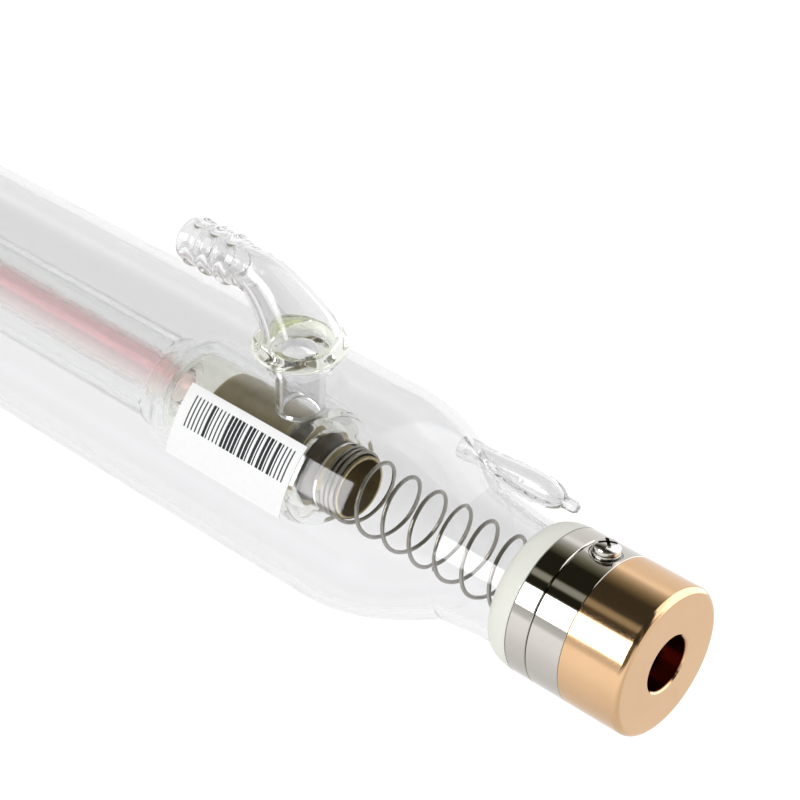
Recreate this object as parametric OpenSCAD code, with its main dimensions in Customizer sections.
// Sealed, water-cooled glass CO2 laser tube.
// X runs along the beam towards the output head, and Z is up through both water nozzles.
// The origin is on the tube's axis, midway between its ends, where the saddle clamps centre it.
// A "station" is a distance back from the end face of a head, so both ends share the same values.

/* [Glass envelope] */
// Length over both metal heads
tube_length = 700; // [620:10:1200]
// Outer diameter of the envelope
envelope_od = 50; // [48:1:60]
// Wall of the envelope
envelope_wall = 2; // [1.6:0.1:2.4]
// Outer diameter of the neck at the metal head
neck_od = 27.2; // [27.2:0.2:28.4]
// Outer diameter of the neck where the shoulder begins
neck_root_od = 29.4; // [29:0.2:31]
// Length of the neck, from the head to the shoulder
neck_len = 20.5; // [18:0.5:26]
// Length of the shoulder
shoulder_len = 31; // [28:0.5:34]

/* [Metal heads] */
// Diameter of the caps, the rings and the seals
head_od = 32; // [32:0.5:38]
// Length of a cap
cap_len = 14; // [13:0.5:18]
// Beam opening in the front cap
aperture_d = 12; // [8:0.5:14]
// Thickness of a cap's end wall
cap_wall = 5; // [4:0.25:6]
// Wall of a cap around its socket
cap_side_wall = 3.8; // [3:0.2:4]
// Rounding of a cap's outer edge
cap_round = 1.5; // [0.5:0.25:2]
// Length of the ring that carries the terminal screw
terminal_ring_len = 8; // [8:0.5:12]
// Length of the flange bonded to the glass
flange_len = 5; // [4:0.5:8]
// Depth of the flange's sleeve inside the glass neck
sleeve_len = 8; // [6:0.5:10]
// Beam passage through both rings
beam_bore_d = 13; // [10:0.5:14]
// Bevel on the edges where two rings meet
ring_bevel = 0.3; // [0.1:0.1:0.6]
// Length of the white seal over the joint between glass and metal
seal_len = 9; // [7:0.5:11]

/* [Mirrors] */
// Diameter of both mirrors
mirror_d = 20; // [19:0.5:22]
// Thickness of both mirrors
mirror_t = 3; // [2:0.25:3.5]
// Section diameter of the O-ring behind a mirror
o_ring_section = 1.8; // [1.6:0.1:2]
// Depth of the O-ring groove
o_ring_groove = 1.5; // [1.2:0.1:1.55]

/* [Terminal screws] */
// Thread diameter of a terminal screw
screw_d = 3; // [2.5:0.5:4]
// Head diameter of a terminal screw
screw_head_d = 5.5; // [5:0.25:6.5]
// Head height of a terminal screw
screw_head_h = 2.1; // [1.6:0.1:3]
// Threaded length below the washers
screw_reach = 4.6; // [3:0.2:5]
// Lean of the screws from straight up
screw_lean = 10; // [0:1:30]
// Diameter of the flat washer
washer_d = 6.6; // [6.2:0.1:7]
// Thickness of the flat washer
washer_t = 0.5; // [0.3:0.1:0.8]
// Thickness of the split spring washer
spring_washer_t = 0.8; // [0.5:0.1:1]
// Depth of the flat milled under the washers
spot_depth = 0.7; // [0.6:0.1:1]

/* [Discharge tube and cooling] */
// Outer diameter of the discharge tube
bore_tube_od = 10; // [9:0.5:11]
// Wall of the discharge tube
bore_tube_wall = 1.5; // [1:0.1:2]
// Outer diameter of the cup around an electrode
cup_od = 21.8; // [21.4:0.2:22.4]
// Wall of the inner glass
inner_wall = 1.3; // [1:0.1:1.4]
// Outer diameter of the water jacket along the discharge tube
jacket_od = 20.4; // [18:0.2:22]
// Outer diameter of the water jacket around an electrode
jacket_bulb_od = 28; // [27.4:0.2:29]
// Station where the water jacket is closed
jacket_station = 85; // [85:0.5:88]
// Length of the rounded end of the water jacket
jacket_dome_len = 12; // [10:0.5:14]
// Length of the wide part of the water jacket
bulb_len = 29; // [26:0.5:36]
// Length over which the jacket narrows to its ring
bulb_taper_len = 8; // [6:0.5:12]

/* [Electrodes] */
// Outer diameter of an electrode's front
electrode_od = 14.4; // [13.6:0.2:14.8]
// Outer diameter of an electrode's body
electrode_body_od = 18; // [17:0.2:18.2]
// Thickness of an electrode's nickel sheet
electrode_wall = 0.6; // [0.4:0.1:0.8]
// Station of an electrode's open mouth
electrode_station = 79.8; // [78:0.2:81]
// Length of an electrode
electrode_len = 38; // [34:0.5:42]
// Thickness of the dark band around an electrode's front
band_t = 0.7; // [0.5:0.1:1]
// Wire diameter of a contact spring
spring_wire_d = 0.9; // [0.7:0.1:1]
// Distance between the open turns of a contact spring
spring_pitch = 7.2; // [6:0.2:9]
// Turns of a contact spring wound tight on its electrode
tight_turns = 3; // [2:1:4]

/* [Water nozzles] */
// Station of a nozzle
nozzle_station = 96; // [95:0.5:100]
// Outer diameter of the bead at a nozzle's foot
nozzle_bead_d = 20.4; // [19:0.2:22]
// Height of the bead's middle above the envelope
nozzle_bead_rise = 4.4; // [4:0.2:6]
// Height of a nozzle's mouth above the envelope
nozzle_rise = 16.8; // [16:0.2:20]
// Distance from a nozzle's foot to its mouth
nozzle_reach = 31.5; // [31:0.5:44]
// Outer diameter of a nozzle's straight end
nozzle_od = 9.6; // [9:0.2:10.4]
// Water passage through a nozzle's straight end
nozzle_bore_d = 6.4; // [5:0.2:7]
// Outer diameter of the first hose ridge
ridge_d = 11.4; // [11:0.2:13]
// Outer diameter of the link between jacket and nozzle
link_od = 10.6; // [9:0.2:11]

/* [Exhaust tip and gas return] */
// Outer diameter of the sealed exhaust tip
tip_od = 6.6; // [6:0.2:7]
// Distance of the exhaust tip from the tube's axis
tip_offset = 18; // [17.8:0.1:18.6]
// Angle of the exhaust tip above the horizontal
tip_angle = 50; // [30:5:75]
// Outer diameter of the gas return tube
coil_tube_od = 5; // [4:0.5:6]
// Wall of the gas return tube
coil_wall = 1; // [0.8:0.1:1.4]
// Turns of the gas return coil
coil_turns = 4; // [2:1:6]
// Distance between the turns of the gas return coil
coil_pitch = 11; // [8:0.5:14]

/* [Label] */
// Length of the label along the tube
label_len = 33; // [20:1:50]
// Height of the label around the tube
label_h = 16; // [12:0.2:26]
// Angle of the label's middle around the axis from the horizontal
label_angle = 146; // [100:1:200]

/* [Fits] */
// Clearance between pieces that sit in each other
fit_gap = 0.1; // [0.05:0.05:0.15]
// Clearance left where glass is fused to glass
fused_gap = 0.05; // [0.02:0.01:0.1]

/* [Hidden] */
smooth = 96;
half_len = tube_length / 2;
envelope_r = envelope_od / 2;
neck_r = neck_od / 2;
neck_root_r = neck_root_od / 2;
head_r = head_od / 2;
aperture_r = aperture_d / 2;
beam_bore_r = beam_bore_d / 2;
mirror_r = mirror_d / 2;
// Gap under a thin sleeve or film
skin_gap = 0.02;

// Stations of the head and the neck
terminal_ring_station = cap_len;
flange_station = terminal_ring_station + terminal_ring_len;
neck_station = flange_station + flange_len;
sleeve_station = neck_station + sleeve_len;
neck_taper_share = 0.52;
neck_taper_station = neck_station + neck_taper_share * neck_len;
shoulder_station = neck_station + neck_len;
body_station = shoulder_station + shoulder_len;

// Shoulder: one cubic curve from the neck to the body
shoulder_foot_handle = 4;
shoulder_foot_rise = 0.5;
shoulder_body_handle = 15.5;
shoulder_steps = 12;
shoulder_curve = [[shoulder_station, neck_root_r],
    [shoulder_station + shoulder_foot_handle, neck_root_r + shoulder_foot_rise],
    [body_station - shoulder_body_handle, envelope_r],
    [body_station, envelope_r]];

// Cap, mirror and O-ring
mirror_station = cap_wall;
mirror_play = 0.2;
mirror_bevel = 0.3;
aperture_bevel = 0.4;
socket_r = head_r - cap_side_wall;
o_ring_r = (beam_bore_r + mirror_r) / 2;
groove_station = mirror_station + mirror_t + o_ring_section;

// Terminal screws and washers
screw_station = terminal_ring_station + terminal_ring_len / 2;
screw_seat = head_r - spot_depth;
screw_depth = screw_seat - screw_reach;
screw_hole_spare = 0.4;
screw_head_edge = 0.7;
spring_washer_spare = 0.3;
recess_len = screw_head_d * 0.58;
recess_w = 0.75;
recess_depth = 1.1;
washer_split = 0.6;
spring_washer_d = screw_head_d + spring_washer_spare;

// Electrodes
electrode_r = electrode_od / 2;
electrode_body_r = electrode_body_od / 2;
electrode_rear = electrode_station + electrode_len;
electrode_step_station = 94.5;
electrode_step_len = 1.5;
electrode_corner = 1.5;
electrode_rim = 1;
band_r = electrode_r + band_t;
band_station = 86.6;
band_len = 7;

// Contact spring, from the electrode to a socket in the flange's sleeve
spring_steps = 16;
spring_sides = 8;
// The flats of the wound line come nearer to the axis than its corners
spring_r = (electrode_r + spring_wire_d / 2 + fused_gap) / cos(180 / spring_steps);
spring_seat_depth = 5;
spring_station = sleeve_station - spring_seat_depth;
spring_socket_spare = 2;
spring_socket_r = spring_r + spring_wire_d / 2 + fit_gap;
spring_start = jacket_station - spring_wire_d / 2 - fused_gap;
spring_start_angle = 172;
tight_turn_gap = 0.35;
tight_pitch = spring_wire_d + tight_turn_gap;

// Inner glass
bore_tube_r = bore_tube_od / 2;
cup_r = cup_od / 2;
jacket_r = jacket_od / 2;
bulb_r = jacket_bulb_od / 2;
dome_station = jacket_station + jacket_dome_len;
dome_steps = 10;
bulb_end_station = dome_station + bulb_len;
jacket_seam_station = bulb_end_station + bulb_taper_len;
jacket_seam_rise = 0.7;
jacket_seam_r = jacket_r + jacket_seam_rise;
jacket_seam_len = 1.2;
cup_flare_lead = 8;
cup_flare_station = jacket_seam_station - cup_flare_lead;
cup_flare_len = 4;
cup_flare_drop = 1.6;
bore_socket_depth = 2;
bore_station = jacket_seam_station - bore_socket_depth;
bore_socket_r = bore_tube_r + fused_gap;
bore_socket_len = 5;
lip_station = 90;
lip_len = 3;
lip_slope = 1.5;
lip_hold_r = band_r + fused_gap;
front_nose_r = band_r + fused_gap;
rear_nose_r = cup_r + fused_gap;
chamber_lead = 1;
chamber_station = sleeve_station + chamber_lead;
chamber_seat_len = 8;
chamber_slope = 5;
chamber_seat_r = neck_r - envelope_wall - fused_gap;

// Water nozzle
link_r = link_od / 2;
nozzle_r = nozzle_od / 2;
nozzle_bore_r = nozzle_bore_d / 2;
nozzle_wall = nozzle_r - nozzle_bore_r;
nozzle_x = half_len - nozzle_station;
foot_neck_wall = 1.9;
foot_neck_r = link_r + foot_neck_wall;
bead_r = nozzle_bead_d / 2;
bead_height = envelope_r + nozzle_bead_rise;
bead_flare = 3.4;
bead_steps = 6;
bead_crown = 0.35;
bead_crown_rise = 0.1;
throat_rise = 0.4;
mouth_height = envelope_r + nozzle_rise;
horn_lead = 1.6;
horn_height = bead_height + horn_lead;
horn_step = 1.4;
horn_r = bead_r - horn_step;
horn_reach = 13;
horn_foot_handle = 2.6;
horn_end_handle = 4.4;
horn_steps = 12;
horn_sides = 24;
horn_line = [[0, 0, horn_height],
    [0, 0, horn_height + horn_foot_handle],
    [horn_end_handle - horn_reach, 0, mouth_height],
    [-horn_reach, 0, mouth_height]];
// Step between the horn's flats and the true circles at its ends, and how far they run into each other
seam_step = 0.12;
seam_lap = 0.5;
ridge_r = ridge_d / 2;
ridge_count = 3;
ridge_spacing = 5;
ridge_drop = 0.15;
ridge_land = 1;
ridge_slope = 1.5;
ridge_end = 2.6;
mouth_bevel = 0.4;

// Exhaust tip: a drawn-off nib on an egg-shaped stub
tip_r = tip_od / 2;
tip_root_r = tip_r * 0.8;
tip_wall = 1.2;
tip_steps = 6;
nib_r = 1.3;
nib_station = 31.5;
nib_len = 4;
tip_waist_handle = 1.4;
tip_wide_len = 11.5;
tip_wide_handle = 4;
tip_len = 24;
tip_root_handle = 5;
tip_waist_station = nib_station + nib_len;
tip_wide_station = nib_station + tip_wide_len;
tip_root_station = nib_station + tip_len;

// Gas return tube
coil_r = coil_tube_od / 2;
coil_bore_r = coil_r - coil_wall;
coil_lead = 12;
coil_x = jacket_seam_station + coil_lead - half_len;
coil_drop = 0.5;
coil_wind_r = (jacket_r + envelope_r - envelope_wall) / 2 - coil_drop;
coil_foot = bore_tube_r + fused_gap;
coil_bend = 3.5;
coil_bend_steps = 3;
coil_rise_steps = 5;
coil_steps = 18;
coil_sides = 10;

// Label
label_lead = 1;
label_station = body_station + label_lead;
label_film = 0.12;

// ---------- Curves and profiles ----------

function reversed(list) = [for (i = [len(list) - 1:-1:0]) list[i]];

function cubic(a, b, c, d, t) =
    a * pow(1 - t, 3) + 3 * b * pow(1 - t, 2) * t + 3 * c * (1 - t) * pow(t, 2) + d * pow(t, 3);

function cubic_slope(a, b, c, d, t) =
    3 * (b - a) * pow(1 - t, 2) + 6 * (c - b) * (1 - t) * t + 3 * (d - c) * pow(t, 2);

// Points [station, radius] become [radius, x] of the front half, and of the mirrored rear half
function front_half(points) = [for (p = points) [p[1], half_len - p[0]]];
function rear_half(points) = [for (p = reversed(points)) [p[1], p[0] - half_len]];
function both_halves(points) = concat(front_half(points), rear_half(points));

function shoulder_point(t) =
    cubic(shoulder_curve[0], shoulder_curve[1], shoulder_curve[2], shoulder_curve[3], t);

// The same point moved into the glass, square to the curve
function shoulder_inner_point(t, wall) =
    let (slope = cubic_slope(shoulder_curve[0], shoulder_curve[1], shoulder_curve[2], shoulder_curve[3], t))
    shoulder_point(t) + wall * [slope[1], -slope[0]] / norm(slope);

function envelope_outline() = concat(
    [[neck_station, neck_r], [neck_taper_station, neck_r]],
    [for (i = [0:shoulder_steps]) shoulder_point(i / shoulder_steps)]);

function envelope_inner_outline() = concat(
    [[neck_station, neck_r - envelope_wall], [neck_taper_station, neck_r - envelope_wall]],
    [for (i = [0:shoulder_steps]) shoulder_inner_point(i / shoulder_steps, envelope_wall)]);

// Quarter ellipse from the jacket's wide part down to its closed nose
function dome_points(wide_r, nose_r, len, nose_station) = [for (i = [0:dome_steps])
    let (a = 90 * i / dome_steps)
    [nose_station + len * (1 - cos(a)), nose_r + (wide_r - nose_r) * sin(a)]];

function jacket_outline(nose_r, inset) = concat(
    dome_points(bulb_r - inset, nose_r, jacket_dome_len - inset, jacket_station + inset),
    [[bulb_end_station, bulb_r - inset], [jacket_seam_station, jacket_seam_r - inset],
        [jacket_seam_station + jacket_seam_len, jacket_seam_r - inset],
        [jacket_seam_station + 2 * jacket_seam_len, jacket_r - inset]]);

// ---------- Placing and sweeping ----------

// Turns a profile of [radius, x] about the tube's axis
module turned(angle = 360) {
    rotate([0, 90, 0])
        rotate_extrude(angle = angle, $fn = smooth)
            children();
}

// Turns a profile of [radius, station] about the axis, at the front head
module turned_at_front() {
    translate([half_len, 0, 0])
        rotate([0, -90, 0])
            rotate_extrude($fn = smooth)
                children();
}

// Repeats a front piece at the rear end
module at_rear() {
    mirror([1, 0, 0])
        children();
}

// Turns a front piece end for end, so that a wound piece keeps its hand
module swapped_end() {
    rotate([0, 0, 180])
        children();
}

module washer_profile(inner_r, outer_r, start, len) {
    translate([inner_r, start])
        square([outer_r - inner_r, len]);
}

// Direction of travel at each point of a path
function path_headings(path) = [for (i = [0:len(path) - 1])
    path[min(i + 1, len(path) - 1)] - path[max(i - 1, 0)]];

// Rings of points around a path; side_ref is square to the whole path
function ring_points(path, headings, radii, sides, side_ref) = [for (i = [0:len(path) - 1])
    let (along = headings[i] / norm(headings[i]),
        across = cross(side_ref, along) / norm(cross(side_ref, along)),
        up = cross(across, along))
    for (j = [0:sides - 1])
        path[i] + radii[i] * (cos(360 * j / sides) * across + sin(360 * j / sides) * up)];

function skin_faces(rings, sides, first, flip) = [for (i = [0:rings - 2]) for (j = [0:sides - 1])
    let (a = first + i * sides + j, b = first + i * sides + (j + 1) % sides, c = b + sides, d = a + sides)
    flip ? [a, d, c, b] : [a, b, c, d]];

function disc_face(sides, first, flip) =
    flip ? [for (j = [sides - 1:-1:0]) first + j] : [for (j = [0:sides - 1]) first + j];

function annulus_faces(sides, outer_first, inner_first, flip) = [for (j = [0:sides - 1])
    let (k = (j + 1) % sides)
    flip ? [outer_first + j, outer_first + k, inner_first + k, inner_first + j]
         : [outer_first + j, inner_first + j, inner_first + k, outer_first + k]];

// Solid round wire along a path
module swept_wire(path, r, sides, side_ref) {
    rings = len(path);
    radii = [for (p = path) r];
    polyhedron(
        points = ring_points(path, path_headings(path), radii, sides, side_ref),
        faces = concat(skin_faces(rings, sides, 0, false),
            [disc_face(sides, 0, true), disc_face(sides, (rings - 1) * sides, false)]),
        convexity = 10);
}

// Open tube along a path, with a heading, an outer and an inner radius at each point
module swept_tube(path, headings, outer_radii, inner_radii, sides, side_ref) {
    rings = len(path);
    inner_first = rings * sides;
    last = (rings - 1) * sides;
    polyhedron(
        points = concat(ring_points(path, headings, outer_radii, sides, side_ref),
            ring_points(path, headings, inner_radii, sides, side_ref)),
        faces = concat(skin_faces(rings, sides, 0, false),
            skin_faces(rings, sides, inner_first, true),
            annulus_faces(sides, 0, inner_first, false),
            annulus_faces(sides, last, inner_first + last, true)),
        convexity = 10);
}

// ---------- Glass ----------

// The envelope without its cavity, used to trim what is fused onto it
module envelope_solid() {
    turned()
        polygon(concat([[0, half_len - neck_station]], both_halves(envelope_outline()),
            [[0, neck_station - half_len]]));
}

// Upright cylinder through both nozzle places
module nozzle_holes(r, low, high) {
    for (side = [-1, 1])
        translate([side * nozzle_x, 0, low])
            cylinder(r = r, h = high - low, $fn = smooth);
}

// Upright hole for the foot of the gas return tube
module coil_hole(r, low, high) {
    translate([coil_x, 0, low])
        cylinder(r = r, h = high - low, $fn = smooth);
}

module exhaust_axis() {
    rotate([tip_angle - 90, 0, 0])
        translate([half_len, 0, tip_offset])
            rotate([0, -90, 0])
                children();
}

module envelope() {
    color([0.88, 0.93, 0.93, 0.3])
        difference() {
            turned()
                polygon(concat(both_halves(envelope_outline()),
                    reversed(both_halves(envelope_inner_outline()))));
            nozzle_holes(link_r + fused_gap, 0, envelope_r + 1);
            exhaust_axis()
                translate([0, 0, shoulder_station])
                    cylinder(r = tip_root_r - tip_wall, h = shoulder_len, $fn = smooth);
        }
}

module jacket_solid() {
    turned()
        polygon(concat(front_half(jacket_outline(front_nose_r + inner_wall, 0)),
            rear_half(jacket_outline(rear_nose_r + inner_wall, 0)),
            [[0, jacket_station - half_len], [0, half_len - jacket_station]]));
}

module water_jacket() {
    color([0.9, 0.95, 0.95, 0.3])
        difference() {
            turned()
                polygon(concat(
                    [[front_nose_r, half_len - jacket_station]],
                    front_half(jacket_outline(front_nose_r + inner_wall, 0)),
                    rear_half(jacket_outline(rear_nose_r + inner_wall, 0)),
                    [[rear_nose_r, jacket_station - half_len]],
                    reversed(concat(front_half(jacket_outline(front_nose_r, inner_wall)),
                        rear_half(jacket_outline(rear_nose_r, inner_wall))))));
            nozzle_holes(link_r - inner_wall, 0, envelope_r);
            coil_hole(coil_r + fused_gap, 0, envelope_r);
        }
}

module bore_tube() {
    bore_half = half_len - bore_station;
    color([0.95, 0.82, 0.84, 0.5])
        difference() {
            turned()
                washer_profile(bore_tube_r - bore_tube_wall, bore_tube_r, -bore_half, 2 * bore_half);
            coil_hole(coil_bore_r, 0, bore_tube_od);
        }
}

// Points [station, radius] of the socket and flare that join a cup to the discharge tube
function cup_root(inset) = [
    [cup_flare_station, cup_r - inset],
    [cup_flare_station + cup_flare_len, cup_r - cup_flare_drop - inset],
    [bore_station - 1, bore_socket_r + inner_wall - inset],
    [bore_station + bore_socket_len, bore_socket_r + inner_wall - inset]];

// Radius of the jacket's inside at a station within its front dome
function dome_inner_r(station) =
    let (reach = (dome_station - station) / (jacket_dome_len - inner_wall))
    front_nose_r + (bulb_r - inner_wall - front_nose_r) * sqrt(1 - reach * reach);

module cathode_cup() {
    lip_r = dome_inner_r(lip_station) - fit_gap;
    lip_end = lip_station + lip_len;
    color([0.9, 0.95, 0.93, 0.3])
        turned()
            polygon(front_half(concat(
                [[lip_station, lip_r], [lip_end, lip_r], [lip_end + lip_slope, cup_r]],
                cup_root(0),
                reversed(cup_root(inner_wall)),
                [[lip_end + lip_slope, cup_r - inner_wall], [lip_end, lip_hold_r], [lip_station, lip_hold_r]])));
}

// Closes the gas in at the anode, from the glass neck to the discharge tube
module anode_chamber() {
    lip_end = lip_station + lip_len;
    seat_end = chamber_station + chamber_seat_len;
    color([0.9, 0.95, 0.93, 0.3])
        turned()
            polygon(rear_half(concat(
                [[chamber_station, chamber_seat_r], [seat_end, chamber_seat_r], [seat_end + chamber_slope, cup_r]],
                cup_root(0),
                reversed(cup_root(inner_wall)),
                [[lip_end + lip_slope, cup_r - inner_wall], [lip_end, lip_hold_r],
                    [lip_station, lip_hold_r], [lip_station - lip_slope, cup_r - inner_wall],
                    [seat_end + chamber_slope, cup_r - inner_wall],
                    [seat_end, chamber_seat_r - inner_wall],
                    [chamber_station, chamber_seat_r - inner_wall]])));
}

module nozzle_link(side) {
    link_len = bead_height - jacket_r;
    color([0.9, 0.95, 0.93, 0.3])
        difference() {
            translate([side * nozzle_x, 0, jacket_r])
                difference() {
                    cylinder(r = link_r, h = link_len, $fn = smooth);
                    translate([0, 0, -1])
                        cylinder(r = link_r - inner_wall, h = link_len + 2, $fn = smooth);
                }
            jacket_solid();
        }
}

// Outer radius of the horn that bends from a nozzle's foot to its straight end
function horn_outer_r(t) = nozzle_r + seam_step + (horn_r - seam_step - nozzle_r) * pow(1 - t, 1.4);

module nozzle_horn() {
    steps = [for (i = [0:horn_steps]) i / horn_steps];
    outer_radii = [for (t = concat([0], steps)) horn_outer_r(t)];
    swept_tube(
        concat([horn_line[0] - [0, 0, seam_lap]],
            [for (t = steps) cubic(horn_line[0], horn_line[1], horn_line[2], horn_line[3], t)]),
        concat([[0, 0, 1]],
            [for (t = steps) cubic_slope(horn_line[0], horn_line[1], horn_line[2], horn_line[3], t)]),
        outer_radii,
        [for (r = outer_radii) r - nozzle_wall - 2 * seam_step],
        horn_sides, [0, 1, 0]);
}

// Foot on the envelope, flaring into the thick bead where the horn is fused on
module nozzle_foot() {
    top_r = horn_r + seam_step;
    throat_r = horn_r - nozzle_wall - 3 * seam_step;
    throat_height = bead_height + throat_rise;
    bead_low = bead_height - bead_flare;
    difference() {
        rotate_extrude($fn = smooth)
            polygon(concat(
                [[link_r + fused_gap, 0], [foot_neck_r, 0]],
                [for (i = [0:bead_steps]) cubic([foot_neck_r, bead_low], [foot_neck_r, bead_low + bead_flare * 0.55],
                    [bead_r, bead_low + bead_flare * 0.45], [bead_r, bead_height], i / bead_steps)],
                [[(bead_r + top_r) / 2 + bead_crown, (bead_height + horn_height) / 2 + bead_crown_rise],
                    [top_r, horn_height], [throat_r, horn_height], [throat_r, throat_height], [link_r + fused_gap, throat_height]]));
        translate([-nozzle_x, 0, 0])
            envelope_solid();
    }
}

// Straight end with its hose ridges, each a land with a slope either side
module nozzle_end() {
    tail_len = nozzle_reach - horn_reach;
    first_ridge = tail_len - ridge_end - (ridge_count - 1) * ridge_spacing;
    half_land = ridge_land / 2;
    translate([-horn_reach, 0, mouth_height])
        rotate([0, -90, 0])
            rotate_extrude($fn = smooth)
                polygon(concat(
                    [[nozzle_bore_r, -seam_lap], [nozzle_r, -seam_lap]],
                    [for (i = [0:ridge_count - 1])
                        let (middle = first_ridge + i * ridge_spacing, crest_r = ridge_r - i * ridge_drop)
                        for (p = [[nozzle_r, -half_land - ridge_slope], [crest_r, -half_land],
                            [crest_r, half_land], [nozzle_r, half_land + ridge_slope]])
                            [p[0], middle + p[1]]],
                    [[nozzle_r - mouth_bevel, tail_len], [nozzle_bore_r, tail_len]]));
}

module water_nozzle() {
    color([0.9, 0.95, 0.9, 0.35])
        translate([nozzle_x, 0, 0]) {
            nozzle_end();
            nozzle_horn();
            nozzle_foot();
        }
}

// Points [radius, station] of the tip's egg shape, from its waist to the shoulder
function tip_outline(inset) = concat(
    [for (i = [0:tip_steps]) cubic([tip_r * 0.5, tip_waist_station], [tip_r * 0.85, tip_waist_station + tip_waist_handle],
        [tip_r, tip_wide_station - tip_wide_handle], [tip_r, tip_wide_station], i / tip_steps) - [inset, 0]],
    [for (i = [1:tip_steps]) cubic([tip_r, tip_wide_station], [tip_r, tip_wide_station + tip_wide_handle],
        [tip_root_r, tip_root_station - tip_root_handle], [tip_root_r, tip_root_station], i / tip_steps) - [inset, 0]],
    [[tip_root_r - inset, body_station]]);

module exhaust_tip() {
    color([0.9, 0.95, 0.9, 0.35])
        difference() {
            exhaust_axis()
                rotate_extrude($fn = smooth)
                    polygon(concat(
                        [[0, nib_station], [nib_r * 0.7, nib_station], [nib_r, nib_station + nib_r],
                            [nib_r, tip_waist_station - nib_r]],
                        tip_outline(0),
                        reversed(tip_outline(tip_wall)),
                        [[0, tip_waist_station + tip_wall]]));
            envelope_solid();
        }
}

// Rises from the discharge tube through the jacket and winds round it, open at its far end
module gas_return_coil() {
    straight = coil_wind_r - coil_bend - coil_foot;
    path = concat(
        [for (i = [0:coil_rise_steps]) [coil_x, 0, coil_foot + straight * i / coil_rise_steps]],
        [for (i = [1:coil_turns * coil_steps])
            let (a = 360 * i / coil_steps, r = coil_wind_r - coil_bend * pow(max(0, 1 - i / coil_bend_steps), 2))
            [coil_x + coil_pitch * a / 360, r * sin(a), r * cos(a)]]);
    color([0.9, 0.95, 0.93, 0.35])
        swept_tube(path, path_headings(path), [for (p = path) coil_r], [for (p = path) coil_bore_r],
            coil_sides, [1, 0, 0]);
}

// ---------- Electrodes and contact springs ----------

// Nickel sheet spun into a narrow front, a wide body and a rim turned in at the rear
module electrode() {
    front_in = electrode_r - electrode_wall;
    body_in = electrode_body_r - electrode_wall;
    rim_r = electrode_body_r - electrode_corner;
    step_end = electrode_step_station + electrode_step_len;
    color([0.55, 0.52, 0.48])
        turned_at_front()
            polygon([
                [front_in, electrode_station], [electrode_r, electrode_station],
                [electrode_r, electrode_step_station], [electrode_body_r, step_end],
                [electrode_body_r, electrode_rear - electrode_corner], [rim_r, electrode_rear],
                [rim_r - electrode_rim, electrode_rear], [rim_r - electrode_rim, electrode_rear - electrode_wall],
                [rim_r - electrode_wall / 3, electrode_rear - electrode_wall],
                [body_in, electrode_rear - electrode_corner - electrode_wall / 3],
                [body_in, step_end + electrode_wall / 2], [front_in, electrode_step_station + electrode_wall / 2]]);
}

module electrode_band() {
    color([0.25, 0.17, 0.14])
        turned_at_front()
            washer_profile(electrode_r + skin_gap, band_r, band_station, band_len);
}

// Right-handed helix: tight turns on the electrode, then open turns up to the flange's sleeve
function spring_travel(turn) = turn < tight_turns
    ? turn * tight_pitch
    : tight_turns * tight_pitch + (turn - tight_turns) * spring_pitch;

module contact_spring() {
    start = half_len - spring_start;
    open_len = spring_start - tight_turns * tight_pitch - spring_station;
    turns = tight_turns + open_len / spring_pitch;
    steps = floor(turns * spring_steps);
    color([0.75, 0.75, 0.74])
        swept_wire([for (i = [0:steps])
            let (turn = i / spring_steps, a = 360 * turn + spring_start_angle)
            [start + spring_travel(turn), spring_r * cos(a), spring_r * sin(a)]],
            spring_wire_d / 2, spring_sides, [1, 0, 0]);
}

// ---------- Metal heads ----------

module flange() {
    sleeve_r = neck_r - envelope_wall - fit_gap;
    spring_stop = spring_station - spring_socket_spare;
    color([0.78, 0.78, 0.8])
        turned_at_front()
            polygon([
                [beam_bore_r, flange_station], [head_r - ring_bevel, flange_station],
                [head_r, flange_station + ring_bevel], [head_r, neck_station - ring_bevel / 2],
                [head_r - ring_bevel / 2, neck_station], [sleeve_r, neck_station],
                [sleeve_r, sleeve_station], [spring_socket_r, sleeve_station],
                [spring_socket_r, spring_stop], [beam_bore_r, spring_stop]]);
}

// Domed ring of white sealant over the end of the glass neck
module seal() {
    steps = 10;
    inner = neck_r + fused_gap;
    start = neck_station + fused_gap;
    color([0.96, 0.95, 0.9])
        turned_at_front()
            polygon(concat([[inner, start]],
                [for (i = [0:steps])
                    let (a = 90 * i / steps)
                    [inner + (head_r - inner) * cos(a), start + seal_len * sin(a)]]));
}

module screw_axis() {
    rotate([-screw_lean, 0, 0])
        translate([half_len - screw_station, 0, 0])
            children();
}

module terminal_ring() {
    spigot_r = socket_r - fit_gap;
    spigot_station = groove_station - o_ring_groove;
    groove_half = o_ring_section / 2 + fit_gap;
    color([0.8, 0.8, 0.82])
        difference() {
            turned_at_front()
                polygon([
                    [beam_bore_r, spigot_station], [o_ring_r - groove_half, spigot_station],
                    [o_ring_r - groove_half, groove_station], [o_ring_r + groove_half, groove_station],
                    [o_ring_r + groove_half, spigot_station], [spigot_r, spigot_station],
                    [spigot_r, terminal_ring_station], [head_r - ring_bevel / 2, terminal_ring_station],
                    [head_r, terminal_ring_station + ring_bevel / 2], [head_r, flange_station - ring_bevel],
                    [head_r - ring_bevel, flange_station], [beam_bore_r, flange_station]]);
            screw_axis() {
                translate([0, 0, screw_seat])
                    cylinder(d = washer_d + 2 * fit_gap, h = spot_depth + 1, $fn = smooth);
                translate([0, 0, screw_depth - screw_hole_spare])
                    cylinder(d = screw_d + 2 * fused_gap, h = screw_reach + 1, $fn = smooth);
            }
        }
}

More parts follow.
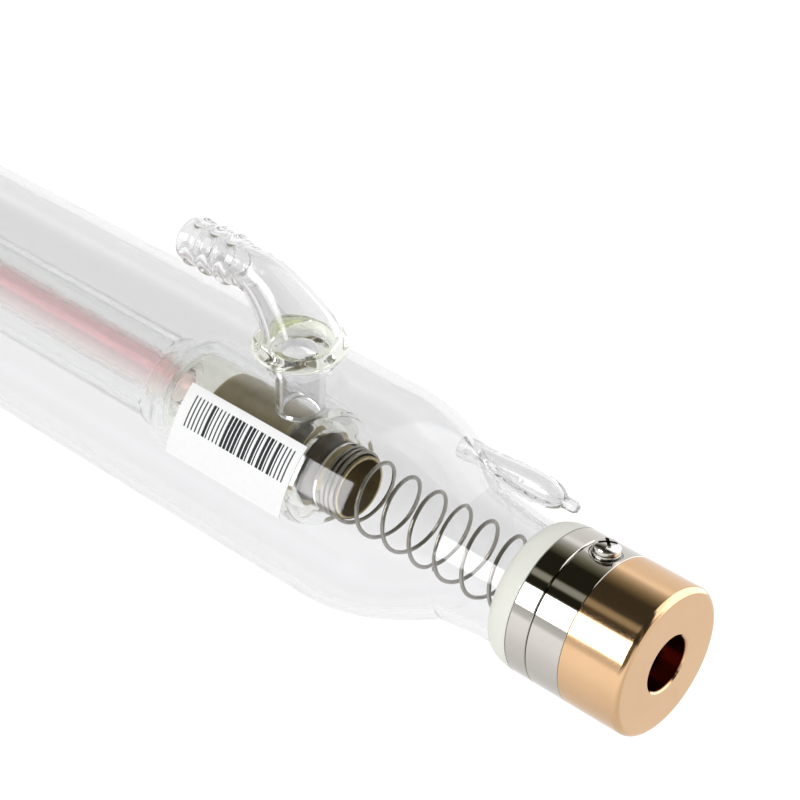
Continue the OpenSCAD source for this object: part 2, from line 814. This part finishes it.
// Cup-shaped cap; the points given close its end wall, with or without an opening
module cap_body(end_points) {
    pocket_r = mirror_r + fit_gap;
    pocket_station = mirror_station + mirror_t + mirror_play;
    round_steps = 6;
    color([0.85, 0.62, 0.47])
        turned_at_front()
            polygon(concat(
                end_points,
                [for (i = [0:round_steps])
                    let (a = 90 * i / round_steps)
                    [head_r - cap_round + cap_round * sin(a), cap_round - cap_round * cos(a)]],
                [[head_r, cap_len], [socket_r, cap_len], [socket_r, pocket_station],
                    [pocket_r, pocket_station], [pocket_r, cap_wall]]));
}

module front_cap() {
    cap_body([[aperture_r, cap_wall], [aperture_r, aperture_bevel], [aperture_r + aperture_bevel, 0]]);
}

module rear_cap() {
    at_rear()
        cap_body([[0, cap_wall], [0, 0]]);
}

module mirror_disc() {
    far = mirror_station + mirror_t;
    color([0.85, 0.7, 0.3])
        turned_at_front()
            polygon([[0, mirror_station], [mirror_r - mirror_bevel, mirror_station],
                [mirror_r, mirror_station + mirror_bevel], [mirror_r, far - mirror_bevel],
                [mirror_r - mirror_bevel, far], [0, far]]);
}

module o_ring() {
    color([0.6, 0.12, 0.08])
        turned_at_front()
            translate([o_ring_r, groove_station - o_ring_section / 2])
                circle(d = o_ring_section, $fn = 32);
}

// ---------- Fasteners ----------

module cross_recess() {
    for (turn = [45, 135])
        rotate([0, 0, turn])
            translate([-recess_len / 2, -recess_w / 2, -recess_depth])
                cube([recess_len, recess_w, recess_depth + 1]);
}

module screw_head() {
    edge_r = screw_head_d / 2;
    difference() {
        rotate_extrude($fn = smooth)
            polygon([[0, 0], [edge_r, 0], [edge_r, screw_head_h - screw_head_edge],
                [edge_r - screw_head_edge * 0.4, screw_head_h - screw_head_edge * 0.3],
                [edge_r - screw_head_edge, screw_head_h], [0, screw_head_h]]);
        translate([0, 0, screw_head_h])
            cross_recess();
    }
}

module terminal_screw() {
    head_low = screw_seat + washer_t + spring_washer_t;
    color([0.8, 0.8, 0.8])
        screw_axis() {
            translate([0, 0, screw_depth])
                cylinder(d = screw_d, h = head_low - screw_depth + 0.2, $fn = smooth);
            translate([0, 0, head_low])
                screw_head();
        }
}

// Plain washer lying a height above the ring's flat
module washer_disc(outer_d, thickness, rise) {
    screw_axis()
        translate([0, 0, screw_seat + rise])
            difference() {
                cylinder(d = outer_d, h = thickness, $fn = smooth);
                translate([0, 0, -1])
                    cylinder(d = screw_d + 2 * fit_gap, h = thickness + 2, $fn = smooth);
            }
}

module flat_washer() {
    color([0.78, 0.78, 0.8])
        washer_disc(washer_d, washer_t, 0);
}

module spring_washer() {
    color([0.7, 0.7, 0.72])
        difference() {
            washer_disc(spring_washer_d, spring_washer_t, washer_t);
            screw_axis()
                translate([0, -washer_split / 2, screw_seat])
                    cube([spring_washer_d, washer_split, washer_t + spring_washer_t + 1]);
        }
}

// ---------- Label ----------

module label() {
    span = label_h / envelope_r * 180 / PI;
    color([0.97, 0.97, 0.97])
        rotate([label_angle - span / 2 + 90, 0, 0])
            translate([half_len - label_station - label_len, 0, 0])
                turned(span)
                    washer_profile(envelope_r + skin_gap, envelope_r + label_film, 0, label_len);
}

// ---------- Assembly ----------

envelope();
water_jacket();
bore_tube();
cathode_cup();
anode_chamber();
electrode();  // cathode
at_rear() electrode();  // anode
electrode_band();  // cathode_band
at_rear() electrode_band();  // anode_band
contact_spring();  // front_contact_spring
swapped_end() contact_spring();  // rear_contact_spring
gas_return_coil();
nozzle_link(1);  // front_nozzle_link
nozzle_link(-1);  // rear_nozzle_link
water_nozzle();  // front_water_nozzle
at_rear() water_nozzle();  // rear_water_nozzle
exhaust_tip();
flange();  // front_flange
at_rear() flange();  // rear_flange
seal();  // front_seal
at_rear() seal();  // rear_seal
terminal_ring();  // front_terminal_ring
at_rear() terminal_ring();  // rear_terminal_ring
front_cap();
rear_cap();
mirror_disc();  // output_mirror
at_rear() mirror_disc();  // rear_mirror
o_ring();  // front_o_ring
at_rear() o_ring();  // rear_o_ring
union() {  // terminal_screws
    terminal_screw();
    at_rear() terminal_screw();
}
union() {  // flat_washers
    flat_washer();
    at_rear() flat_washer();
}
union() {  // spring_washers
    spring_washer();
    at_rear() spring_washer();
}
label();
